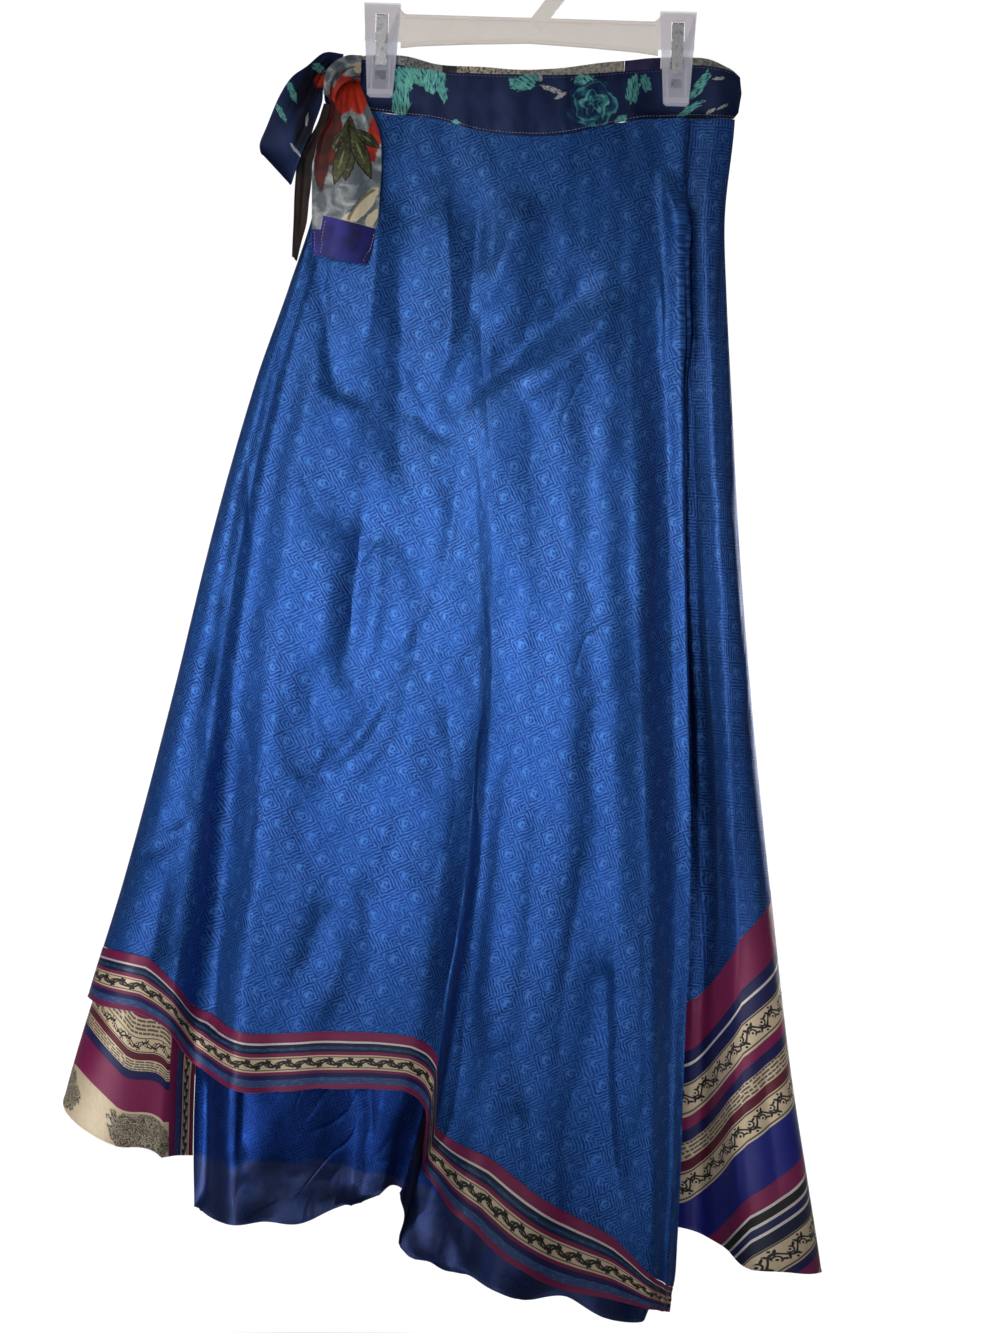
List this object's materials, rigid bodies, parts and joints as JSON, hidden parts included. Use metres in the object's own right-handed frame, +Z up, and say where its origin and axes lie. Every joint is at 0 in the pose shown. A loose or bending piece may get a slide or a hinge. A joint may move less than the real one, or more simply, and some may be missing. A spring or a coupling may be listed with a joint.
{
  "type": "wrap skirt on a clip hanger",
  "caption": "Long printed silk wrap skirt with a shaped waistband, looped side tie, striped border hem and end pieces, hung by two clips from a clear plastic hanger.",
  "frame": {"origin": "top of the inside of the hanger's hook, where a rail carries it", "axes": "+Z up, +X along the waistband to the right as seen from the front, the front of the skirt faces -Y"},
  "size_m": [0.5734, 0.1068, 1.0424],
  "materials": {
    "blue_silk": "satin silk, tone-on-tone print",
    "under_silk": "satin silk, tone-on-tone print",
    "border_stripes": "striped border, magenta, cream and navy",
    "end_stripes": "cream, maroon and navy stripes",
    "rose_band": "navy satin with teal roses",
    "grey_band": "grey speckled print",
    "navy_band": "plain navy",
    "tie_print": "grey, red and olive leaf print",
    "tie_end": "plain royal navy, topstitched",
    "tie_dark": "plain dark brown",
    "clear_plastic": "clear, slightly frosted",
    "spring_steel": "bright spring steel"
  },
  "bodies": {
    "root": {"front_panel": "blue_silk", "front_border": "border_stripes", "right_panel": "blue_silk", "right_end_piece": "end_stripes", "back_panel": "blue_silk", "back_border": "border_stripes", "under_panel": "under_silk", "under_side_panel": "under_silk", "left_end_piece": "end_stripes", "waistband_front": "rose_band", "waistband_back_right": "grey_band", "waistband_back_patch": "navy_band", "waistband_back_left": "grey_band", "tie_collar": "tie_print", "tie_tail_front": "tie_print", "tie_tail_front_end": "tie_end", "tie_tail_back": "tie_print", "tie_tail_back_end": "tie_end", "tie_strip_dark": "tie_dark", "tie_loop": "rose_band", "hanger_frame": "clear_plastic", "clip_jaw_front_left": "clear_plastic", "clip_jaw_back_left": "clear_plastic", "clip_spring_left": "spring_steel", "clip_jaw_front_right": "clear_plastic", "clip_jaw_back_right": "clear_plastic", "clip_spring_right": "spring_steel"}
  },
  "joints": []
}
